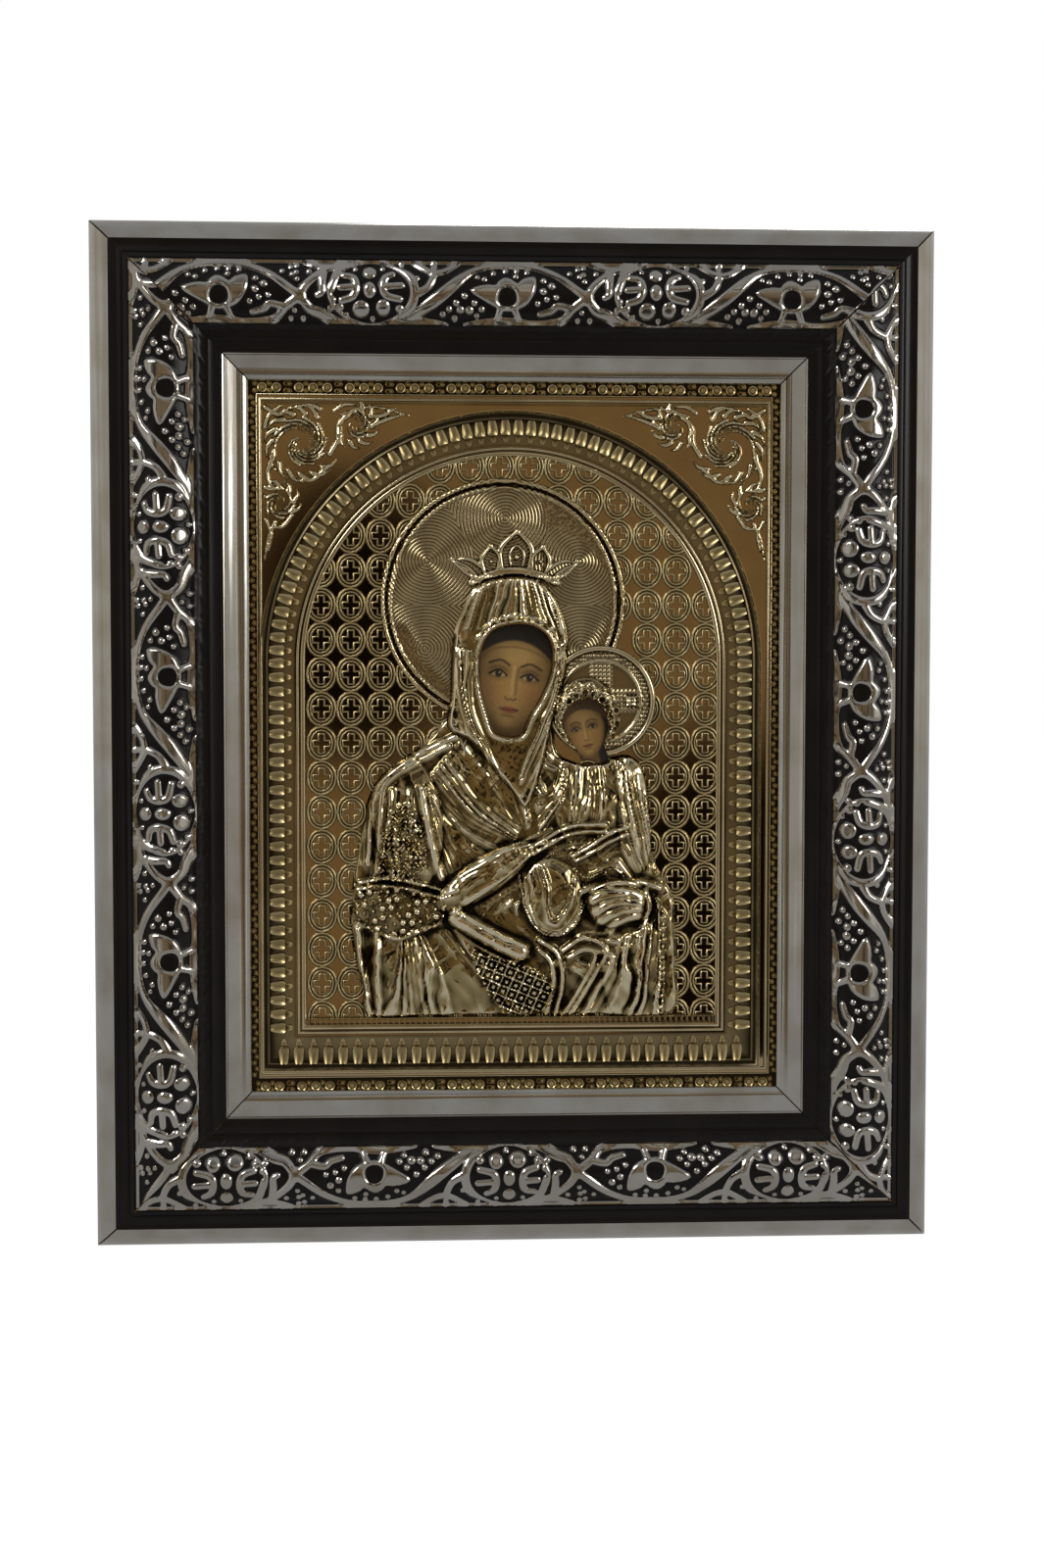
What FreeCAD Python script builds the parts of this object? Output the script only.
import FreeCAD, Part
import math
import os
import Sketcher

# Framed icon: a mitred wooden moulding round a stamped metal icon cover on a board.
# Frame of the model: +Z up, +X to the viewer's right, the front faces -Y.
# The origin is the middle of the back of the frame, in the plane of the wall.
# Heights are measured forwards from the wall plane, in millimetres.

SIZES = {
    # moulding, seen from the front
    "frame_width": 240.0,
    "frame_height": 291.0,
    "moulding_width": 44.5,
    "bevel_width": 6.0,
    "cove_width": 5.9,
    "band_width": 17.9,
    "facet_width": 7.5,
    "slope_width": 3.9,
    "rabbet_width": 5.0,
    "button_ledge_width": 9.0,
    # moulding, heights and steps of its profile
    "outer_wall_height": 10.5,
    "bevel_rise": 6.5,
    "cove_rise": 1.5,
    "facet_rise": 2.6,
    "slope_rise": 2.8,
    "lip_rise": 1.0,
    "lip_edge": 1.3,
    "button_recess": 3.0,
    # the stack in the rabbet, from the back to the lip
    "backing_thickness": 2.4,
    "pad_thickness": 2.0,
    "board_thickness": 3.0,
    "print_thickness": 0.4,
    "cover_sheet": 0.5,
    "board_clearance": 0.6,
    "backing_clearance": 0.5,
    "print_inset": 1.0,
    # icon cover: fillets and arch
    "fillet_end_setback": 4.6,
    "fillet_side_setback": 1.6,
    "fillet_width": 1.6,
    "fillet_rise": 0.9,
    "arch_side_setback": 3.8,
    "arch_end_setback": 7.9,
    "arch_ridge_width": 1.4,
    "arch_ridge_rise": 1.4,
    "channel_width": 0.9,
    "gadroon_length": 6.7,
    "gadroon_foot_length": 7.8,
    "gadroon_rise": 1.0,
    "gadroon_gap": 1.2,
    "inner_ridge_width": 2.6,
    "inner_ridge_rise": 1.1,
    "step_height": 2.5,
    "step_rise": 1.4,
    # icon cover: figures in relief
    "halo_rise": 0.9,
    "halo_rim_width": 2.0,
    "halo_rim_rise": 0.9,
    "child_halo_rise": 2.2,
    "robe_rise": 4.6,
    "veil_rise": 5.6,
    "crown_rise": 4.4,
    "child_rise": 6.4,
    "hair_rise": 5.0,
    "sleeve_rise": 6.6,
    # fasteners and hanger
    "v_nail_leg": 4.5,
    "v_nail_depth": 7.0,
    "v_nail_thickness": 0.5,
    "v_nail_first": 10.0,
    "v_nail_spacing": 12.0,
    "button_length": 15.0,
    "button_half_width": 3.7,
    "button_tip_half_width": 2.4,
    "button_thickness": 1.2,
    "pivot_from_wall": 4.0,
    "screw_radius": 1.2,
    "screw_length": 7.0,
    "screw_head_radius": 2.6,
    "screw_head_height": 1.1,
    "pilot_radius": 0.9,
    "pilot_depth": 7.5,
    "running_clearance": 0.08,
    "head_clearance": 0.1,
    "hinge_height": 72.0,
    "strap_width": 8.0,
    "strap_length": 12.0,
    "strap_thickness": 0.6,
    "barrel_wall": 0.52,
    "ring_wire_radius": 0.7,
    "ring_half_width": 8.2,
    "ring_corner": 2.2,
    "ring_side_length": 12.0,
    "rivet_radius": 1.0,
    "rivet_head_radius": 1.8,
    "rivet_head_height": 0.6,
    "rivet_inset": 3.4,
    "rivet_spacing": 5.2,
    "rivet_squeeze": 0.05,
    "tack_width": 0.8,
    "tack_length": 6.0,
    "tack_taper": 3.0,
    "tack_head_width": 1.8,
    "tack_head_height": 0.3,
    "tack_spacing": 60.0,
    "tack_spacing_across": 42.0,
    # one overrun for all cuts
    "overrun": 2.0,
}

# Bulge of an arc: its sagitta as a share of its chord.
HALF_ROUND_SHARE = 0.5
QUARTER_ROUND_SHARE = 0.2071
BEVEL_BULGE_SHARE = 0.07
COVE_BULGE_SHARE = 0.16
BAND_BULGE_SHARE = 0.21
FACET_BULGE_SHARE = 0.12
LIP_BULGE_SHARE = 0.13
HEAD_TOP_SHARE = 0.7
POINT_SHARE = 0.6
# Where the turn-buttons of the long rails sit, as a share of the rail from its middle.
BUTTON_PLACE_SHARE = 0.26

doc = FreeCAD.newDocument("FramedIcon")
sheet = doc.addObject("Spreadsheet::Sheet", "Sizes")
for row, (word, value) in enumerate(SIZES.items(), start=1):
    sheet.set("A%d" % row, word)
    sheet.set("B%d" % row, str(value))
    sheet.setAlias("B%d" % row, word)
doc.recompute()


class Term:
    """A size or a sum of sizes, known both as a number and as spreadsheet text."""

    def __init__(self, value, text):
        self.value = float(value)
        self.text = text

    def __add__(self, other):
        other = term(other)
        return Term(self.value + other.value, "(%s + %s)" % (self.text, other.text))

    def __sub__(self, other):
        other = term(other)
        return Term(self.value - other.value, "(%s - %s)" % (self.text, other.text))

    def __mul__(self, other):
        other = term(other)
        return Term(self.value * other.value, "(%s * %s)" % (self.text, other.text))

    def __truediv__(self, other):
        other = term(other)
        return Term(self.value / other.value, "(%s / %s)" % (self.text, other.text))

    def __neg__(self):
        return Term(-self.value, "(-1 * %s)" % self.text)

    __radd__ = __add__
    __rmul__ = __mul__


def term(value):
    """The value as a Term; a plain number stays a number in the text."""
    if isinstance(value, Term):
        return value
    return Term(value, "(%.6g)" % value)


def size(word):
    """A size of the sheet by its name."""
    return Term(float(sheet.get(word)), "Sizes.%s" % word)


def bind(thing, path, value):
    """Set a property of an object from a Term, now and after every change of the sheet."""
    thing.setExpression(path, term(value).text)


# Sizes that follow from the named ones

half_width = size("frame_width") / 2
half_height = size("frame_height") / 2
backing_front = size("button_recess") + size("backing_thickness")
pad_front = backing_front + size("pad_thickness")
board_front = pad_front + size("board_thickness")
print_front = board_front + size("print_thickness")
cover_front = print_front + size("cover_sheet")
lip_top = cover_front + size("lip_edge")
slope_top = lip_top + size("lip_rise")
facet_top = slope_top + size("slope_rise")
band_inner_top = facet_top + size("facet_rise")
bevel_top = size("outer_wall_height") + size("bevel_rise")
band_outer_top = bevel_top + size("cove_rise")
rabbet_edge = size("moulding_width") - size("rabbet_width")
ledge_edge = rabbet_edge - size("button_ledge_width")
sight_half_width = half_width - size("moulding_width")
sight_half_height = half_height - size("moulding_width")
cover_half_width = half_width - rabbet_edge - size("board_clearance")
cover_half_height = half_height - rabbet_edge - size("board_clearance")
board_half_width = cover_half_width - size("cover_sheet")
board_half_height = cover_half_height - size("cover_sheet")


# Sketching

def origin_plane(body, role):
    """The origin plane of a body with this role."""
    return [plane for plane in body.Origin.OriginFeatures if plane.Role == role][0]


def new_sketch(owner, name, role, offset=None):
    """A sketch on an origin plane of a body, moved along the plane's normal by the offset."""
    sketch = owner.newObject("Sketcher::SketchObject", name)
    sketch.AttachmentSupport = [(origin_plane(owner, role), "")]
    sketch.MapMode = "FlatFace"
    if offset is not None:
        bind(sketch, ".AttachmentOffset.Base.z", offset)
    return sketch


def fix(sketch, kind, parts, value):
    """A dimension of a sketch, bound to a Term."""
    value = term(value)
    number = sketch.addConstraint(Sketcher.Constraint(kind, *parts, value.value))
    name = "size_%d" % number
    sketch.renameConstraint(number, name)
    sketch.setExpression("Constraints." + name, value.text)


def arc_between(first, last, bulge):
    """An arc from one point to another; a positive bulge lies to the right of the way along it."""
    chord = last - first
    radius = chord.Length * (1 + 4 * bulge * bulge) / (8 * abs(bulge))
    side = FreeCAD.Vector(chord.y, -chord.x, 0).normalize() * (1 if bulge > 0 else -1)
    middle = (first + last) * 0.5
    centre = middle + side * (abs(bulge) * chord.Length - radius)
    start, end = (first, last) if bulge > 0 else (last, first)
    start_angle = math.atan2(start.y - centre.y, start.x - centre.x)
    end_angle = math.atan2(end.y - centre.y, end.x - centre.x)
    circle = Part.Circle(centre, FreeCAD.Vector(0, 0, 1), radius)
    return Part.ArcOfCircle(circle, start_angle, end_angle)


def outline(sketch, corners):
    """A closed outline. Each corner is (x, y) or (x, y, bulge of the arc to the next corner)."""
    points = [FreeCAD.Vector(term(c[0]).value, term(c[1]).value, 0) for c in corners]
    bulges = [c[2] if len(c) > 2 else 0 for c in corners]
    ends = []
    for index, bulge in enumerate(bulges):
        first, last = points[index], points[(index + 1) % len(points)]
        if bulge:
            edge = sketch.addGeometry(arc_between(first, last, bulge))
            ends.append((edge, 1, 2) if bulge > 0 else (edge, 2, 1))
        else:
            edge = sketch.addGeometry(Part.LineSegment(first, last))
            ends.append((edge, 1, 2))
    for index, (edge, start, end) in enumerate(ends):
        after = ends[(index + 1) % len(ends)]
        sketch.addConstraint(Sketcher.Constraint("Coincident", edge, end, after[0], after[1]))
    for index, (edge, start, end) in enumerate(ends):
        x, y = term(corners[index][0]), term(corners[index][1])
        fix(sketch, "DistanceX", (-1, 1, edge, start), x)
        fix(sketch, "DistanceY", (-1, 1, edge, start), y)
        if bulges[index]:
            after = corners[(index + 1) % len(corners)]
            run, climb = term(after[0]) - x, term(after[1]) - y
            bulge = bulges[index]
            back = (4 * bulge * bulge - 1) / (8 * bulge)
            if abs(run.value) >= abs(climb.value):
                fix(sketch, "DistanceY", (-1, 1, edge, 3), y + climb / 2 - run * back)
            else:
                fix(sketch, "DistanceX", (-1, 1, edge, 3), x + run / 2 + climb * back)


def ring(sketch, x, y, radius):
    """A circle in a sketch."""
    x, y, radius = term(x), term(y), term(radius)
    centre = FreeCAD.Vector(x.value, y.value, 0)
    edge = sketch.addGeometry(Part.Circle(centre, FreeCAD.Vector(0, 0, 1), radius.value))
    fix(sketch, "DistanceX", (-1, 1, edge, 3), x)
    fix(sketch, "DistanceY", (-1, 1, edge, 3), y)
    fix(sketch, "Radius", (edge,), radius)


def rectangle(sketch, left, bottom, right, top):
    """An upright rectangle in a sketch."""
    outline(sketch, [(left, bottom), (right, bottom), (right, top), (left, top)])


# Features

def new_body(label):
    """A body under its own label."""
    body = doc.addObject("PartDesign::Body", label)
    body.Label = label
    return body


def pad(body, sketch, length, symmetric=False):
    """Material from a sketch, forwards or to both sides."""
    feature = body.newObject("PartDesign::Pad", sketch.Name + "_pad")
    feature.Profile = sketch
    if symmetric:
        feature.SideType = "Symmetric"
    bind(feature, "Length", length)
    return feature


def pocket(body, sketch, length, reverse=False, symmetric=False):
    """A cut from a sketch, backwards unless reversed, or to both sides."""
    feature = body.newObject("PartDesign::Pocket", sketch.Name + "_cut")
    feature.Profile = sketch
    feature.Reversed = reverse
    if symmetric:
        feature.SideType = "Symmetric"
    bind(feature, "Length", length)
    return feature


def turn(body, sketch, axis):
    """A full turn of a sketch about one of its own axes."""
    feature = body.newObject("PartDesign::Revolution", sketch.Name + "_turn")
    feature.Profile = sketch
    feature.ReferenceAxis = (sketch, [axis])
    return feature


def place(thing, x=0, height=0, z=0, turn_about_y=0):
    """Put a piece at a place in front of the wall, turned about the axis that leaves the wall."""
    thing.Placement.Rotation = FreeCAD.Rotation(FreeCAD.Vector(0, 1, 0), turn_about_y)
    bind(thing, ".Placement.Base.x", x)
    bind(thing, ".Placement.Base.y", -term(height))
    bind(thing, ".Placement.Base.z", z)


def group(label, pieces):
    """Separate solids that share one node."""
    compound = doc.addObject("Part::Compound", label)
    compound.Label = label
    compound.Links = pieces
    return compound


# Where each rail lies: its name, its turn about Y, its length and its place
# Each rail is drawn with its outer edge along the local X axis and its width towards local -Z.
RAILS = {
    "top": (0, size("frame_width"), term(0), half_height),
    "right": (90, size("frame_height"), half_width, term(0)),
    "bottom": (180, size("frame_width"), term(0), -half_height),
    "left": (-90, size("frame_height"), -half_width, term(0)),
}
PIVOT_DEPTH = ledge_edge + size("pivot_from_wall")

# Where the turn-buttons sit: rail, and middle or which end of it seen from the front
BUTTONS = {
    "turn_button_top": ("top", 0),
    "turn_button_right_upper": ("right", -1),
    "turn_button_right_lower": ("right", 1),
    "turn_button_bottom": ("bottom", 0),
    "turn_button_left_lower": ("left", -1),
    "turn_button_left_upper": ("left", 1),
}


def rail_profile(sketch):
    """Section of the moulding: sketch x is minus the height, sketch y is minus the width."""
    width = size("moulding_width")
    bevel_edge = size("bevel_width")
    cove_edge = bevel_edge + size("cove_width")
    band_edge = cove_edge + size("band_width")
    facet_edge = band_edge + size("facet_width")
    slope_edge = facet_edge + size("slope_width")
    outline(sketch, [
        (0, 0),
        (-size("outer_wall_height"), 0, BEVEL_BULGE_SHARE),
        (-bevel_top, -bevel_edge, -COVE_BULGE_SHARE),
        (-band_outer_top, -cove_edge, BAND_BULGE_SHARE),
        (-band_inner_top, -band_edge, -FACET_BULGE_SHARE),
        (-facet_top, -facet_edge),
        (-slope_top, -slope_edge, LIP_BULGE_SHARE),
        (-lip_top, -width),
        (-cover_front, -width),
        (-cover_front, -rabbet_edge),
        (-size("button_recess"), -rabbet_edge),
        (-size("button_recess"), -ledge_edge),
        (0, -ledge_edge),
    ])


def make_rail(side):
    """One mitred length of the moulding with the pilot holes of its two turn-buttons."""
    angle, length, x, z = RAILS[side]
    body = new_body("rail_" + side)
    profile = new_sketch(body, "section_" + side, "YZ_Plane")
    rail_profile(profile)
    pad(body, profile, length, symmetric=True)
    over = size("overrun")
    reach = size("moulding_width") + over
    half = length / 2
    mitres = new_sketch(body, "mitres_" + side, "XZ_Plane")
    outline(mitres, [(half + over, over), (half - reach, -reach), (half + over, -reach)])
    outline(mitres, [(-half - over, over), (-half - over, -reach), (-half + reach, -reach)])
    pocket(body, mitres, size("moulding_width") * 2, symmetric=True)
    pilots = new_sketch(body, "pilots_" + side, "XZ_Plane", size("button_recess"))
    for rail, end in BUTTONS.values():
        if rail == side:
            ring(pilots, length * (BUTTON_PLACE_SHARE * end), -PIVOT_DEPTH, size("pilot_radius"))
    pocket(body, pilots, size("pilot_depth"), reverse=True)
    place(body, x=x, z=z, turn_about_y=angle)
    return body


def rail_point(side, along, inwards):
    """Row x and z of a point on a rail, given along it and inwards from its outer edge."""
    angle, length, x, z = RAILS[side]
    sine, cosine = round(math.sin(math.radians(angle))), round(math.cos(math.radians(angle)))
    return x + along * cosine - inwards * sine, z - along * sine - inwards * cosine


def make_v_nails():
    """Pressed V-nails across the back of each mitre, open towards the middle of the frame."""
    leg, gauge = size("v_nail_leg"), size("v_nail_thickness")
    nails = []
    for angle, corner_x, corner_z in ((0, 1, 1), (90, 1, -1), (180, -1, -1), (-90, -1, 1)):
        for number in range(2):
            body = new_body("v_nail_%d" % (len(nails) + 1))
            sketch = new_sketch(body, "v_outline_%d" % (len(nails) + 1), "XZ_Plane")
            outline(sketch, [
                (0, 0), (-leg, 0), (-leg, -gauge), (-gauge, -gauge), (-gauge, -leg), (0, -leg),
            ])
            pad(body, sketch, size("v_nail_depth"))
            inset = size("v_nail_first") + size("v_nail_spacing") * number
            place(body, x=(half_width - inset) * corner_x, z=(half_height - inset) * corner_z,
                  turn_about_y=angle)
            nails.append(body)
    return group("corner_v_nails", nails)


def button_place(label):
    """Row x, z and turn of a turn-button's screw."""
    side, end = BUTTONS[label]
    x, z = rail_point(side, RAILS[side][1] * (BUTTON_PLACE_SHARE * end), PIVOT_DEPTH)
    return x, z, RAILS[side][0]


def make_turn_button(label):
    """A stamped steel turn-button that reaches over the backing board from its screw."""
    body = new_body(label)
    wide, tip, length = size("button_half_width"), size("button_tip_half_width"), size("button_length")
    shape = new_sketch(body, label + "_shape", "XZ_Plane")
    outline(shape, [
        (wide, 0, HALF_ROUND_SHARE),
        (-wide, 0),
        (-tip, -(length - tip / 2)),
        (-tip / 2, -length),
        (tip / 2, -length),
        (tip, -(length - tip / 2)),
    ])
    pad(body, shape, size("button_thickness"))
    bore = new_sketch(body, label + "_bore", "XZ_Plane")
    ring(bore, 0, 0, size("screw_radius") + size("running_clearance"))
    pocket(body, bore, size("button_thickness") + size("overrun"), reverse=True)
    x, z, angle = button_place(label)
    place(body, x=x, height=size("button_recess") - size("button_thickness"), z=z, turn_about_y=angle)
    return body


def make_button_screws():
    """One round-headed wood screw under each turn-button, its head towards the wall."""
    shank, head = size("screw_radius"), size("screw_head_radius")
    seat = size("button_thickness") + size("head_clearance")
    point = size("screw_length")
    screws = []
    for label in BUTTONS:
        body = new_body("screw_of_" + label)
        section = new_sketch(body, "section_of_" + label, "YZ_Plane")
        outline(section, [
            (-point, 0),
            (-point, shank * POINT_SHARE),
            (seat, shank),
            (seat, head),
            (seat + size("screw_head_height"), head * HEAD_TOP_SHARE),
            (seat + size("screw_head_height"), 0),
        ])
        turn(body, section, "H_Axis")
        x, z, angle = button_place(label)
        place(body, x=x, height=size("button_recess"), z=z)
        screws.append(body)
    return group("turn_button_screws", screws)


# The stack in the rabbet

def make_panel(label, half_wide, half_high, back, thickness):
    """A flat sheet centred in the frame."""
    body = new_body(label)
    sketch = new_sketch(body, label + "_outline", "XZ_Plane", back)
    rectangle(sketch, -half_wide, -half_high, half_wide, half_high)
    pad(body, sketch, thickness)
    return body


def make_stack():
    """Print, board, pad and backing board, from the front to the back."""
    make_panel("face_print", board_half_width - size("print_inset"),
               board_half_height - size("print_inset"), board_front, size("print_thickness"))
    make_panel("icon_board", board_half_width, board_half_height, pad_front, size("board_thickness"))
    make_panel("pressure_pad", board_half_width, board_half_height, backing_front,
               size("pad_thickness"))
    backing = make_panel(
        "backing_board",
        half_width - rabbet_edge - size("backing_clearance"),
        half_height - rabbet_edge - size("backing_clearance"),
        size("button_recess"),
        size("backing_thickness"),
    )
    holes = new_sketch(backing, "rivet_holes", "XZ_Plane", size("button_recess"))
    for z in rivet_heights():
        ring(holes, 0, z, size("rivet_radius") - size("rivet_squeeze"))
    pocket(backing, holes, size("backing_thickness") + size("overrun"), reverse=True)


# Icon cover

# Outlines of the raised forms, as shares of each form's own width and height from its middle.
# A third number is the bulge of the edge to the next corner.
ROBE_SHARES = [
    (-0.20, 0.50, 0.06), (-0.43, 0.24, 0.10), (-0.505, -0.15, 0.06), (-0.44, -0.50),
    (0.485, -0.50, 0.02), (0.485, -0.09, 0.12), (0.41, 0.16, 0.04), (0.33, 0.37, 0.10),
    (0.06, 0.47),
]
VEIL_SHARES = [
    (-0.50, -0.10), (-0.16, -0.50), (0.10, -0.50), (0.44, -0.12, 0.03), (0.52, 0.16, 0.06),
    (0.29, 0.45, 0.12), (-0.27, 0.45, 0.06), (-0.52, 0.16, 0.03),
]
CROWN_SHARES = [
    (-0.32, -0.50, -0.10), (0.40, -0.50), (0.50, -0.02, -0.12), (0.27, -0.08), (0.20, 0.22),
    (0.12, 0.10), (0.02, 0.50), (-0.09, 0.08), (-0.22, 0.22), (-0.26, -0.04, -0.12),
    (-0.52, 0.02),
]
CHILD_SHARES = [
    (-0.42, 0.05), (-0.45, -0.42, 0.12), (0.20, -0.50, 0.10), (0.50, -0.22), (0.45, 0.10, 0.10),
    (0.30, 0.46, 0.10), (-0.28, 0.42, 0.10),
]
HAIR_SHARES = [(-0.50, 0.0, QUARTER_ROUND_SHARE), (0.0, -0.50, QUARTER_ROUND_SHARE),
               (0.50, 0.0, QUARTER_ROUND_SHARE), (0.0, 0.50, QUARTER_ROUND_SHARE)]
SLEEVE_SHARES = [(-0.50, -0.42, 0.04), (0.46, -0.30, 0.30), (0.46, 0.30, 0.04), (-0.50, 0.50, 0.10)]
FACE_SHARES = [
    (0.0, 0.50, 0.10), (-0.48, 0.22, 0.06), (-0.42, -0.26, 0.04), (-0.24, -0.50),
    (0.16, -0.50), (0.18, -0.28, 0.06), (0.50, 0.10, 0.12),
]
CHILD_FACE_SHARES = [
    (-0.10, 0.50, 0.16), (-0.48, 0.24, 0.06), (-0.20, -0.20), (-0.02, -0.44, 0.12),
    (0.50, -0.38), (0.28, -0.02, 0.08), (0.30, 0.30, 0.12),
]
# The figures follow the sight opening: every share below is of its half width and its whole height added up.
# Middles are measured from the middle of the base step's top edge.
HALO_CENTRE_SHARES = (-0.0133, 0.4281)
CHILD_HALO_CENTRE_SHARES = (0.0868, 0.3262)
HALO_RADIUS_SHARE = 0.1261
CHILD_HALO_RADIUS_SHARE = 0.0569
FACE_CENTRE_SHARES = (-0.0016, 0.3469)
CHILD_FACE_CENTRE_SHARES = (0.0735, 0.2941)
FACE_SIZE_SHARES = (0.0667, 0.1081)
CHILD_FACE_SIZE_SHARES = (0.0523, 0.0667)
# Each raised form: outline, middle, width and height, turn in degrees, and the axis of its round front.
FORMS = {
    "robe": (ROBE_SHARES, (0.0000, 0.1558), (0.3387, 0.3135), 0, None),
    "veil": (VEIL_SHARES, (-0.0060, 0.3422), (0.1189, 0.2234), 0, "up"),
    "crown": (CROWN_SHARES, (-0.0054, 0.4677), (0.1243, 0.0577), 0, "up"),
    "child": (CHILD_SHARES, (0.0713, 0.1620), (0.1477, 0.2234), 0, "up"),
    "hair": (HAIR_SHARES, (0.0713, 0.3185), (0.0627, 0.0613), 0, None),
    "sleeve": (SLEEVE_SHARES, (-0.0123, 0.1656), (0.1802, 0.0541), -33, "across"),
}
DOME_MARGIN_SHARE = 1.28
BAR_REACH_SHARE = 4.0
PRISM_REACH_SHARE = 3.0
# Half widths of a gadroon at its round end and at its shoulder, as shares of the arch's radius.
GADROON_END_SHARE = 0.0095
GADROON_SHOULDER_SHARE = 0.0225
GADROON_BUD_SHARE = 0.0085
# Where its shoulder and its bud begin, as shares of its length from the round end.
SHOULDER_PLACE_SHARE = 0.6
BUD_PLACE_SHARE = 0.76

# How many gadroons stand round the arch, down each leg and along the foot.
ARCH_GADROONS = 58
LEG_GADROONS = 26
FOOT_GADROONS = 32
# Space below the last gadroon of a leg, as a share of their pitch.
LEG_END_SHARE = 0.5


arch_radius = sight_half_width - size("arch_side_setback")
arch_spring = sight_half_height - size("arch_end_setback") - arch_radius
fillet_half_width = sight_half_width - size("fillet_side_setback")
fillet_half_height = sight_half_height - size("fillet_end_setback")
gadroon_radius = arch_radius - size("arch_ridge_width") - size("channel_width")
gadroon_foot = size("fillet_width") + size("channel_width") - fillet_half_height
inner_radius = gadroon_radius - size("gadroon_length") - size("gadroon_gap")
inner_foot = gadroon_foot + size("gadroon_foot_length") + size("gadroon_gap")
step_foot = inner_foot + size("inner_ridge_width")
figure_foot = step_foot + size("step_height")
figure_unit = sight_half_width + sight_half_height * 2


def figure_point(shares):
    """Row x and z of a point of the figures."""
    return figure_unit * shares[0], figure_foot + figure_unit * shares[1]


def put(thing, centre, height, turned):
    """Turn a form to face the front and put its middle at this place and height."""
    upright = FreeCAD.Rotation(FreeCAD.Vector(1, 0, 0), 90)
    thing.Placement.Rotation = FreeCAD.Rotation(FreeCAD.Vector(0, 1, 0), turned) * upright
    bind(thing, ".Placement.Base.x", centre[0])
    bind(thing, ".Placement.Base.y", -height)
    bind(thing, ".Placement.Base.z", centre[1])


def form_sketch(name, shares, centre, wide, high, height, turned=0):
    """The outline of one form, parallel to the wall at this height."""
    sketch = doc.addObject("Sketcher::SketchObject", name)
    put(sketch, centre, height, turned)
    outline(sketch, [(wide * corner[0], high * corner[1]) + corner[2:] for corner in shares])
    return sketch


def extrude(name, sketch, length, back=None):
    """A prism from a sketch, forwards from the wall, and as far back as stated."""
    prism = doc.addObject("Part::Extrusion", name)
    prism.Base = sketch
    prism.DirMode = "Custom"
    prism.Dir = FreeCAD.Vector(0, -1, 0)
    prism.Solid = True
    bind(prism, "LengthFwd", length)
    if back is not None:
        bind(prism, "LengthRev", back)
    return prism


def rounded_block(name, centre, half_span, rise, turned, axis, inset):
    """A big ball or bar whose front stands out from the sheet by the rise over this half span."""
    radius = (half_span * half_span + rise * rise) / (rise * 2)
    middle = cover_front + rise - radius
    if axis is None:
        ball = doc.addObject("Part::Sphere", name)
        bind(ball, "Radius", radius - inset)
        place(ball, x=centre[0], height=middle, z=centre[1])
        return ball
    angle = turned + (90 if axis == "across" else 0)
    reach = half_span * BAR_REACH_SHARE
    bar = doc.addObject("Part::Cylinder", name)
    bind(bar, "Radius", radius - inset)
    bind(bar, "Height", reach * 2)
    place(bar, x=centre[0] - reach * math.sin(math.radians(angle)), height=middle,
          z=centre[1] - reach * math.cos(math.radians(angle)), turn_about_y=angle)
    return bar


def common(name, first, second):
    """What two solids share."""
    both = doc.addObject("Part::MultiCommon", name)
    both.Shapes = [first, second]
    return both


def fuse(name, pieces):
    """One solid of several that overlap, joined one after another."""
    whole = pieces[0]
    for number, piece in enumerate(pieces[1:], start=1):
        union = doc.addObject("Part::Fuse", "%s_%d" % (name, number))
        union.Base, union.Tool = whole, piece
        whole = union
    return whole


def domed_form(name):
    """Outer and inner solid of a stamped form: its outline under a round front, and its hollow."""
    shares, centre_shares, size_shares, turned, axis = FORMS[name]
    wide, high = figure_unit * size_shares[0], figure_unit * size_shares[1]
    rise = size(name + "_rise")
    gauge = size("cover_sheet")
    half_span = {"up": wide, "across": high, None: wide}[axis] * (DOME_MARGIN_SHARE / 2)
    centre = figure_point(centre_shares)
    root_depth = gauge / 2
    sketch = form_sketch(name + "_outline", shares, centre, wide, high, cover_front - root_depth,
                         turned)
    prism = extrude(name + "_prism", sketch, rise * PRISM_REACH_SHARE)
    front = rounded_block(name + "_front", centre, half_span, rise, turned, axis, term(0))
    inset = doc.addObject("Part::Offset2D", name + "_inset")
    inset.Source = sketch
    inset.Join = 0
    bind(inset, "Value", -gauge)
    core = extrude(name + "_core", inset, rise * PRISM_REACH_SHARE, back=gauge)
    back = rounded_block(name + "_back", centre, half_span, rise, turned, axis, gauge)
    return common(name + "_relief", prism, front), common(name + "_hollow", core, back)


def arch_ridge(body, name, radius, width, rise, foot):
    """A raised line round a round-headed arch, closed along its foot."""
    root_depth = size("cover_sheet") / 2
    sketch = new_sketch(body, name, "XZ_Plane", cover_front - root_depth)
    for inwards in (term(0), width):
        edge = radius - inwards
        outline(sketch, [
            (-edge, foot + inwards),
            (edge, foot + inwards),
            (edge, arch_spring, HALF_ROUND_SHARE),
            (-edge, arch_spring),
        ])
    pad(body, sketch, rise + root_depth)


def gadroon_outline(root, towards, length, upright=False):
    """Outline of a drop: narrow outer end, wide shoulder, and a small bud at its inner end."""
    places = [
        (root, GADROON_END_SHARE),
        (root + length * (SHOULDER_PLACE_SHARE * towards), GADROON_SHOULDER_SHARE),
        (root + length * (BUD_PLACE_SHARE * towards), GADROON_BUD_SHARE),
        (root + length * towards, GADROON_BUD_SHARE / 2),
    ]
    corners = [(along, -arch_radius * share) for along, share in places]
    corners += [(along, arch_radius * share) for along, share in reversed(places)]
    return [(across, along) for along, across in corners] if upright else corners


def gadroon(body, sketch):
    """A drop that stands on the sheet."""
    return pad(body, sketch, size("gadroon_rise") + size("cover_sheet") / 2)


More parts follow.
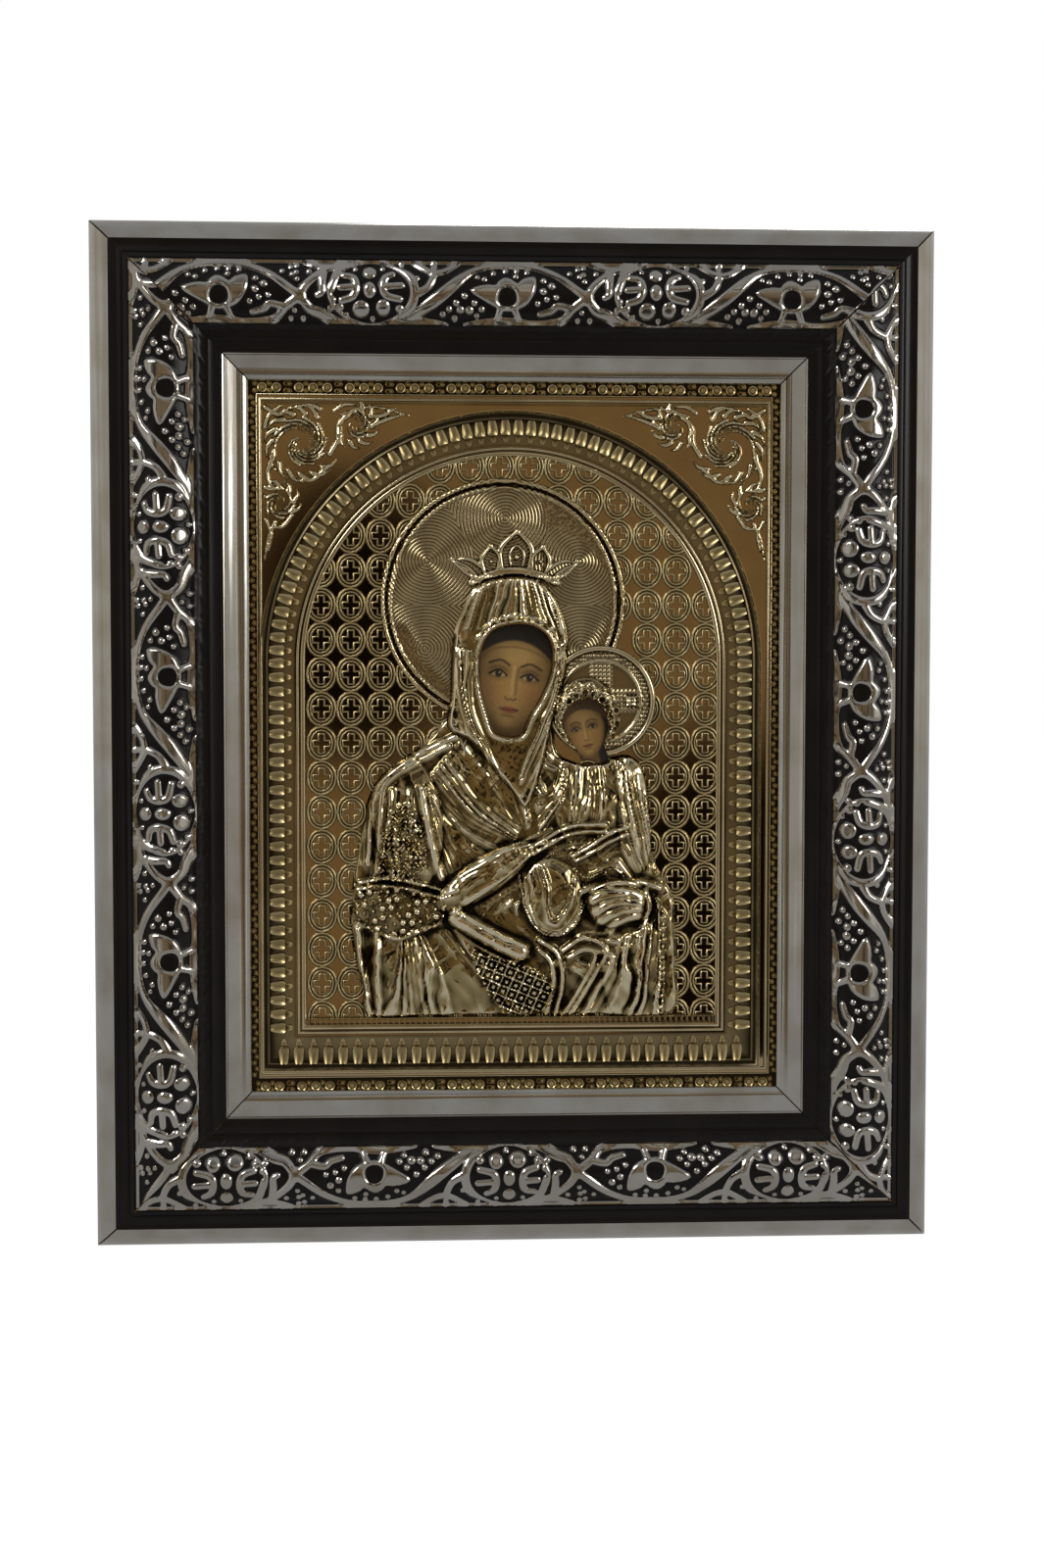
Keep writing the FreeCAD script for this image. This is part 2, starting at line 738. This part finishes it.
def repeat(body, original, kind, sketch, axis, count, extent, reverse=False):
    """A linear or polar pattern of a feature, and the new tip of its body."""
    pattern = body.newObject("PartDesign::" + kind, original.Name + "_row")
    pattern.Originals = [original]
    if kind == "PolarPattern":
        pattern.Axis = (sketch, [axis])
        bind(pattern, "Angle", extent)
    else:
        pattern.Direction = (sketch, [axis])
        bind(pattern, "Length", extent)
    pattern.Reversed = reverse
    pattern.Occurrences = count
    body.Tip = pattern
    return pattern


def add_gadroons(body):
    """Drops all round between the two arch ridges, narrow ends outwards."""
    height = cover_front - size("cover_sheet") / 2
    length = size("gadroon_length")

    arch = new_sketch(body, "arch_gadroon", "XZ_Plane", height)
    bind(arch, ".AttachmentOffset.Base.y", arch_spring)
    outline(arch, gadroon_outline(gadroon_radius, -1, length))
    repeat(body, gadroon(body, arch), "PolarPattern", arch, "N_Axis", ARCH_GADROONS, 180)

    pitch = (arch_spring - inner_foot) / (LEG_GADROONS + LEG_END_SHARE)
    for name, side in (("right", 1), ("left", -1)):
        leg = new_sketch(body, name + "_gadroon", "XZ_Plane", height)
        bind(leg, ".AttachmentOffset.Base.y", arch_spring - pitch)
        outline(leg, gadroon_outline(gadroon_radius * side, -side, length))
        repeat(body, gadroon(body, leg), "LinearPattern", leg, "V_Axis",
               LEG_GADROONS, pitch * (LEG_GADROONS - 1), reverse=True)

    pitch = gadroon_radius * 2 / (FOOT_GADROONS + 1)
    extent = pitch * (FOOT_GADROONS - 1)
    row_below = new_sketch(body, "foot_gadroon", "XZ_Plane", height)
    bind(row_below, ".AttachmentOffset.Base.x", -extent / 2)
    outline(row_below, gadroon_outline(gadroon_foot, 1, size("gadroon_foot_length"), upright=True))
    repeat(body, gadroon(body, row_below), "LinearPattern", row_below,
           "H_Axis", FOOT_GADROONS, extent)


def make_cover_sheet():
    """The sheet with its folded rim, and on it fillets, arch ridges, gadroons and the base step."""
    body = new_body("cover_sheet_body")
    rim_depth = cover_front - pad_front
    outer = new_sketch(body, "rim_outline", "XZ_Plane", pad_front)
    rectangle(outer, -cover_half_width, -cover_half_height, cover_half_width, cover_half_height)
    pad(body, outer, rim_depth)
    inner = new_sketch(body, "rim_hollow", "XZ_Plane", print_front)
    rectangle(inner, -board_half_width, -board_half_height, board_half_width, board_half_height)
    pocket(body, inner, rim_depth + size("overrun"))

    root_depth = size("cover_sheet") / 2
    line = size("fillet_width")
    wide, high = fillet_half_width, fillet_half_height
    fillet = new_sketch(body, "fillet_lines", "XZ_Plane", cover_front - root_depth)
    rectangle(fillet, -wide, -high, wide, high)
    rectangle(fillet, -wide + line, -high + line, wide - line, high - line)
    pad(body, fillet, size("fillet_rise") + root_depth)

    arch_ridge(body, "outer_ridge", arch_radius, size("arch_ridge_width"), size("arch_ridge_rise"), -high)
    arch_ridge(body, "inner_ridge", inner_radius, size("inner_ridge_width"),
               size("inner_ridge_rise"), inner_foot)

    edge = inner_radius - size("inner_ridge_width")
    step = new_sketch(body, "base_step", "XZ_Plane", cover_front - root_depth)
    rectangle(step, -edge, step_foot, edge, figure_foot)
    pad(body, step, size("step_rise") + root_depth)
    add_gadroons(body)
    return body


def disc(name, centre, radius, height, length):
    """A round plate parallel to the wall, from this height forwards."""
    cylinder = doc.addObject("Part::Cylinder", name)
    bind(cylinder, "Radius", radius)
    bind(cylinder, "Height", length)
    put(cylinder, centre, height, 0)
    return cylinder


def turned_ring(name, centre, section):
    """A body turned about an axis square to the wall, from corners (radius, height)."""
    body = new_body(name)
    sketch = new_sketch(body, name + "_section", "XY_Plane")
    outline(sketch, [(radius, -term(height)) for radius, height in section])
    turn(body, sketch, "V_Axis")
    place(body, x=centre[0], z=centre[1])
    return body


def halo(name, centre_shares, radius, rise):
    """Outer and inner solid of a halo: a raised plate with a bevelled rim, hollow behind."""
    centre = figure_point(centre_shares)
    rim = size("halo_rim_width")
    front = cover_front + rise
    crest = front + size("halo_rim_rise")
    plate = turned_ring(name + "_plate", centre, [
        (0, cover_front - size("cover_sheet") / 2),
        (radius, cover_front - size("cover_sheet") / 2),
        (radius, front),
        (radius - rim / 3, crest),
        (radius - rim * 2 / 3, crest),
        (radius - rim, front),
        (0, front),
    ])
    depth = front - size("cover_sheet") - board_front
    return plate, disc(name + "_hollow", centre, radius - rim, board_front, depth)


def face_cuts():
    """The two openings that show the printed faces."""
    cuts = []
    for name, shares, centre_shares, size_shares in (
        ("face_opening", FACE_SHARES, FACE_CENTRE_SHARES, FACE_SIZE_SHARES),
        ("child_face_opening", CHILD_FACE_SHARES, CHILD_FACE_CENTRE_SHARES, CHILD_FACE_SIZE_SHARES),
    ):
        sketch = form_sketch(name, shares, figure_point(centre_shares), figure_unit * size_shares[0],
                             figure_unit * size_shares[1], board_front)
        cuts.append(extrude(name + "_cut", sketch, size("child_rise") * PRISM_REACH_SHARE))
    return cuts


def make_icon_cover():
    """The whole cover: flat sheet, raised figures with hollow backs, and the two face openings."""
    outer, inner = [], face_cuts()
    for name, centre, radius_share in (
        ("halo", HALO_CENTRE_SHARES, HALO_RADIUS_SHARE),
        ("child_halo", CHILD_HALO_CENTRE_SHARES, CHILD_HALO_RADIUS_SHARE),
    ):
        solid, hollow = halo(name, centre, figure_unit * radius_share, size(name + "_rise"))
        outer.append(solid)
        inner.append(hollow)
    for name in FORMS:
        solid, hollow = domed_form(name)
        outer.append(solid)
        inner.append(hollow)
    front = doc.addObject("Part::Fuse", "cover_front")
    front.Base, front.Tool = make_cover_sheet(), fuse("figures", outer)
    cover = doc.addObject("Part::Cut", "icon_cover")
    cover.Label = "icon_cover"
    cover.Base, cover.Tool = front, fuse("hollows", inner)
    return cover


def make_tacks():
    """Small tacks through the folded rim of the cover into the edge of the board."""
    shank, head = size("tack_width") / 2, size("tack_head_width") / 2
    height = pad_front + size("board_thickness") / 2
    places = []
    for side in (-1, 1):
        for step in (-1, 0, 1):
            places.append((cover_half_width * side, size("tack_spacing") * step, 90 * side))
        for step in (-1, 1):
            places.append((size("tack_spacing_across") * step, cover_half_height * side, 90 - 90 * side))
    tacks = []
    for number, (x, z, angle) in enumerate(places, start=1):
        body = new_body("tack_%d" % number)
        cap = new_sketch(body, "tack_head_%d" % number, "XY_Plane")
        rectangle(cap, -head, -head, head, head)
        pad(body, cap, size("tack_head_height"))
        pin = new_sketch(body, "tack_pin_%d" % number, "XY_Plane")
        rectangle(pin, -shank, -shank, shank, shank)
        spike = pad(body, pin, size("tack_length"))
        spike.Reversed = True
        bind(spike, "TaperAngle", -size("tack_taper"))
        place(body, x=x, height=height, z=z, turn_about_y=angle)
        tacks.append(body)
    return group("cover_tacks", tacks)


# Hanger

barrel_bore = size("ring_wire_radius") + size("running_clearance")
barrel_radius = barrel_bore + size("barrel_wall")
hinge_depth = size("button_recess") - barrel_radius


def make_hanger_strap():
    """A bent strap: a flat plate on the backing board and a barrel for the ring above it."""
    body = new_body("hanger_strap")
    recess, hinge = size("button_recess"), size("hinge_height")
    barrel = new_sketch(body, "strap_barrel", "YZ_Plane")
    ring(barrel, -hinge_depth, hinge, barrel_radius)
    pad(body, barrel, size("strap_width"), symmetric=True)
    plate = new_sketch(body, "strap_plate", "YZ_Plane")
    rectangle(plate, -recess, hinge - size("strap_length"), size("strap_thickness") - recess, hinge)
    pad(body, plate, size("strap_width"), symmetric=True)
    bore = new_sketch(body, "strap_bore", "YZ_Plane")
    ring(bore, -hinge_depth, hinge, barrel_bore)
    pocket(body, bore, size("strap_width") + size("overrun"), symmetric=True)
    holes = new_sketch(body, "strap_holes", "XZ_Plane", recess)
    for z in rivet_heights():
        ring(holes, 0, z, size("rivet_radius") - size("rivet_squeeze"))
    pocket(body, holes, size("overrun"))
    return body


def make_hanger_rivets():
    """Two rivets through the strap and the backing board, heads towards the wall."""
    shank, head = size("rivet_radius"), size("rivet_head_radius")
    back = size("button_recess") - size("strap_thickness")
    rivets = []
    for number, z in enumerate(rivet_heights(), start=1):
        body = new_body("rivet_%d" % number)
        section = new_sketch(body, "rivet_section_%d" % number, "YZ_Plane")
        outline(section, [
            (-backing_front, 0),
            (-backing_front, shank),
            (-back, shank),
            (-back, head),
            (size("rivet_head_height") - back, head),
            (size("rivet_head_height") - back, 0),
        ])
        turn(body, section, "H_Axis")
        place(body, z=z)
        rivets.append(body)
    return group("hanger_rivets", rivets)


# Corners of the round end of the ring, as shares of its radius: across and down
ROUND_END_SHARES = [(0.809, 0.588), (0.309, 0.951)]


def make_hanging_ring():
    """A D-shaped wire ring that hangs down round its strap, bent in short straight runs."""
    body = new_body("hanging_ring")
    hinge, half = size("hinge_height"), size("ring_half_width")
    corner, side = size("ring_corner"), size("ring_side_length")
    right = [(half - corner, hinge), (half, hinge - corner), (half, hinge - side)]
    right += [(half * across, hinge - side - half * down) for across, down in ROUND_END_SHARES]
    left = [(-x, z) for x, z in right]
    path = new_sketch(body, "ring_path", "XZ_Plane", hinge_depth)
    corners = [(0, hinge)] + left + right[::-1]
    outline(path, corners)
    section = new_sketch(body, "ring_section", "YZ_Plane")
    ring(section, -hinge_depth, hinge, size("ring_wire_radius"))
    sweep = body.newObject("PartDesign::AdditivePipe", "ring_sweep")
    sweep.Profile = section
    sweep.Spine = (path, ["Edge%d" % (index + 1) for index in range(len(corners))])
    sweep.Transition = "Right corner"
    return body


def rivet_heights():
    """Row z of the two rivets of the hanger strap."""
    first = size("hinge_height") - size("rivet_inset")
    return first, first - size("rivet_spacing")


# Build and write

NODES = ["rail_top", "rail_bottom", "rail_left", "rail_right", "corner_v_nails", "icon_cover",
         "face_print", "icon_board", "cover_tacks", "pressure_pad", "backing_board",
         "turn_button_screws", "hanger_strap", "hanger_rivets", "hanging_ring"] + list(BUTTONS)


def check(nodes):
    """Stop if any object failed, or if a node's shape is missing or not valid."""
    for thing in doc.Objects:
        if "Invalid" in thing.State or "Error" in thing.State:
            raise RuntimeError("%s failed: %s" % (thing.Label, thing.State))
    for label, thing in nodes.items():
        if thing.Shape.isNull() or not thing.Shape.isValid():
            raise RuntimeError("%s has no valid shape" % label)


def write_parts(nodes):
    """One STEP file for each node."""
    os.makedirs("parts", exist_ok=True)
    for label, thing in nodes.items():
        thing.Shape.exportStep("parts/%s.step" % label)
        box = thing.Shape.BoundBox
        print("%-26s %2d solids %10.1f mm3  x %.1f %.1f  y %.1f %.1f  z %.1f %.1f" % (
            label, len(thing.Shape.Solids), thing.Shape.Volume, box.XMin, box.XMax,
            box.YMin, box.YMax, box.ZMin, box.ZMax))


def main():
    """Build every piece of the framed icon."""
    for side in RAILS:
        make_rail(side)
    make_v_nails()
    make_icon_cover()
    make_stack()
    make_tacks()
    for label in BUTTONS:
        make_turn_button(label)
    make_button_screws()
    make_hanger_strap()
    make_hanger_rivets()
    make_hanging_ring()
    doc.recompute()
    nodes = {label: doc.getObjectsByLabel(label)[0] for label in NODES}
    check(nodes)
    write_parts(nodes)


if __name__ == "__main__":
    main()
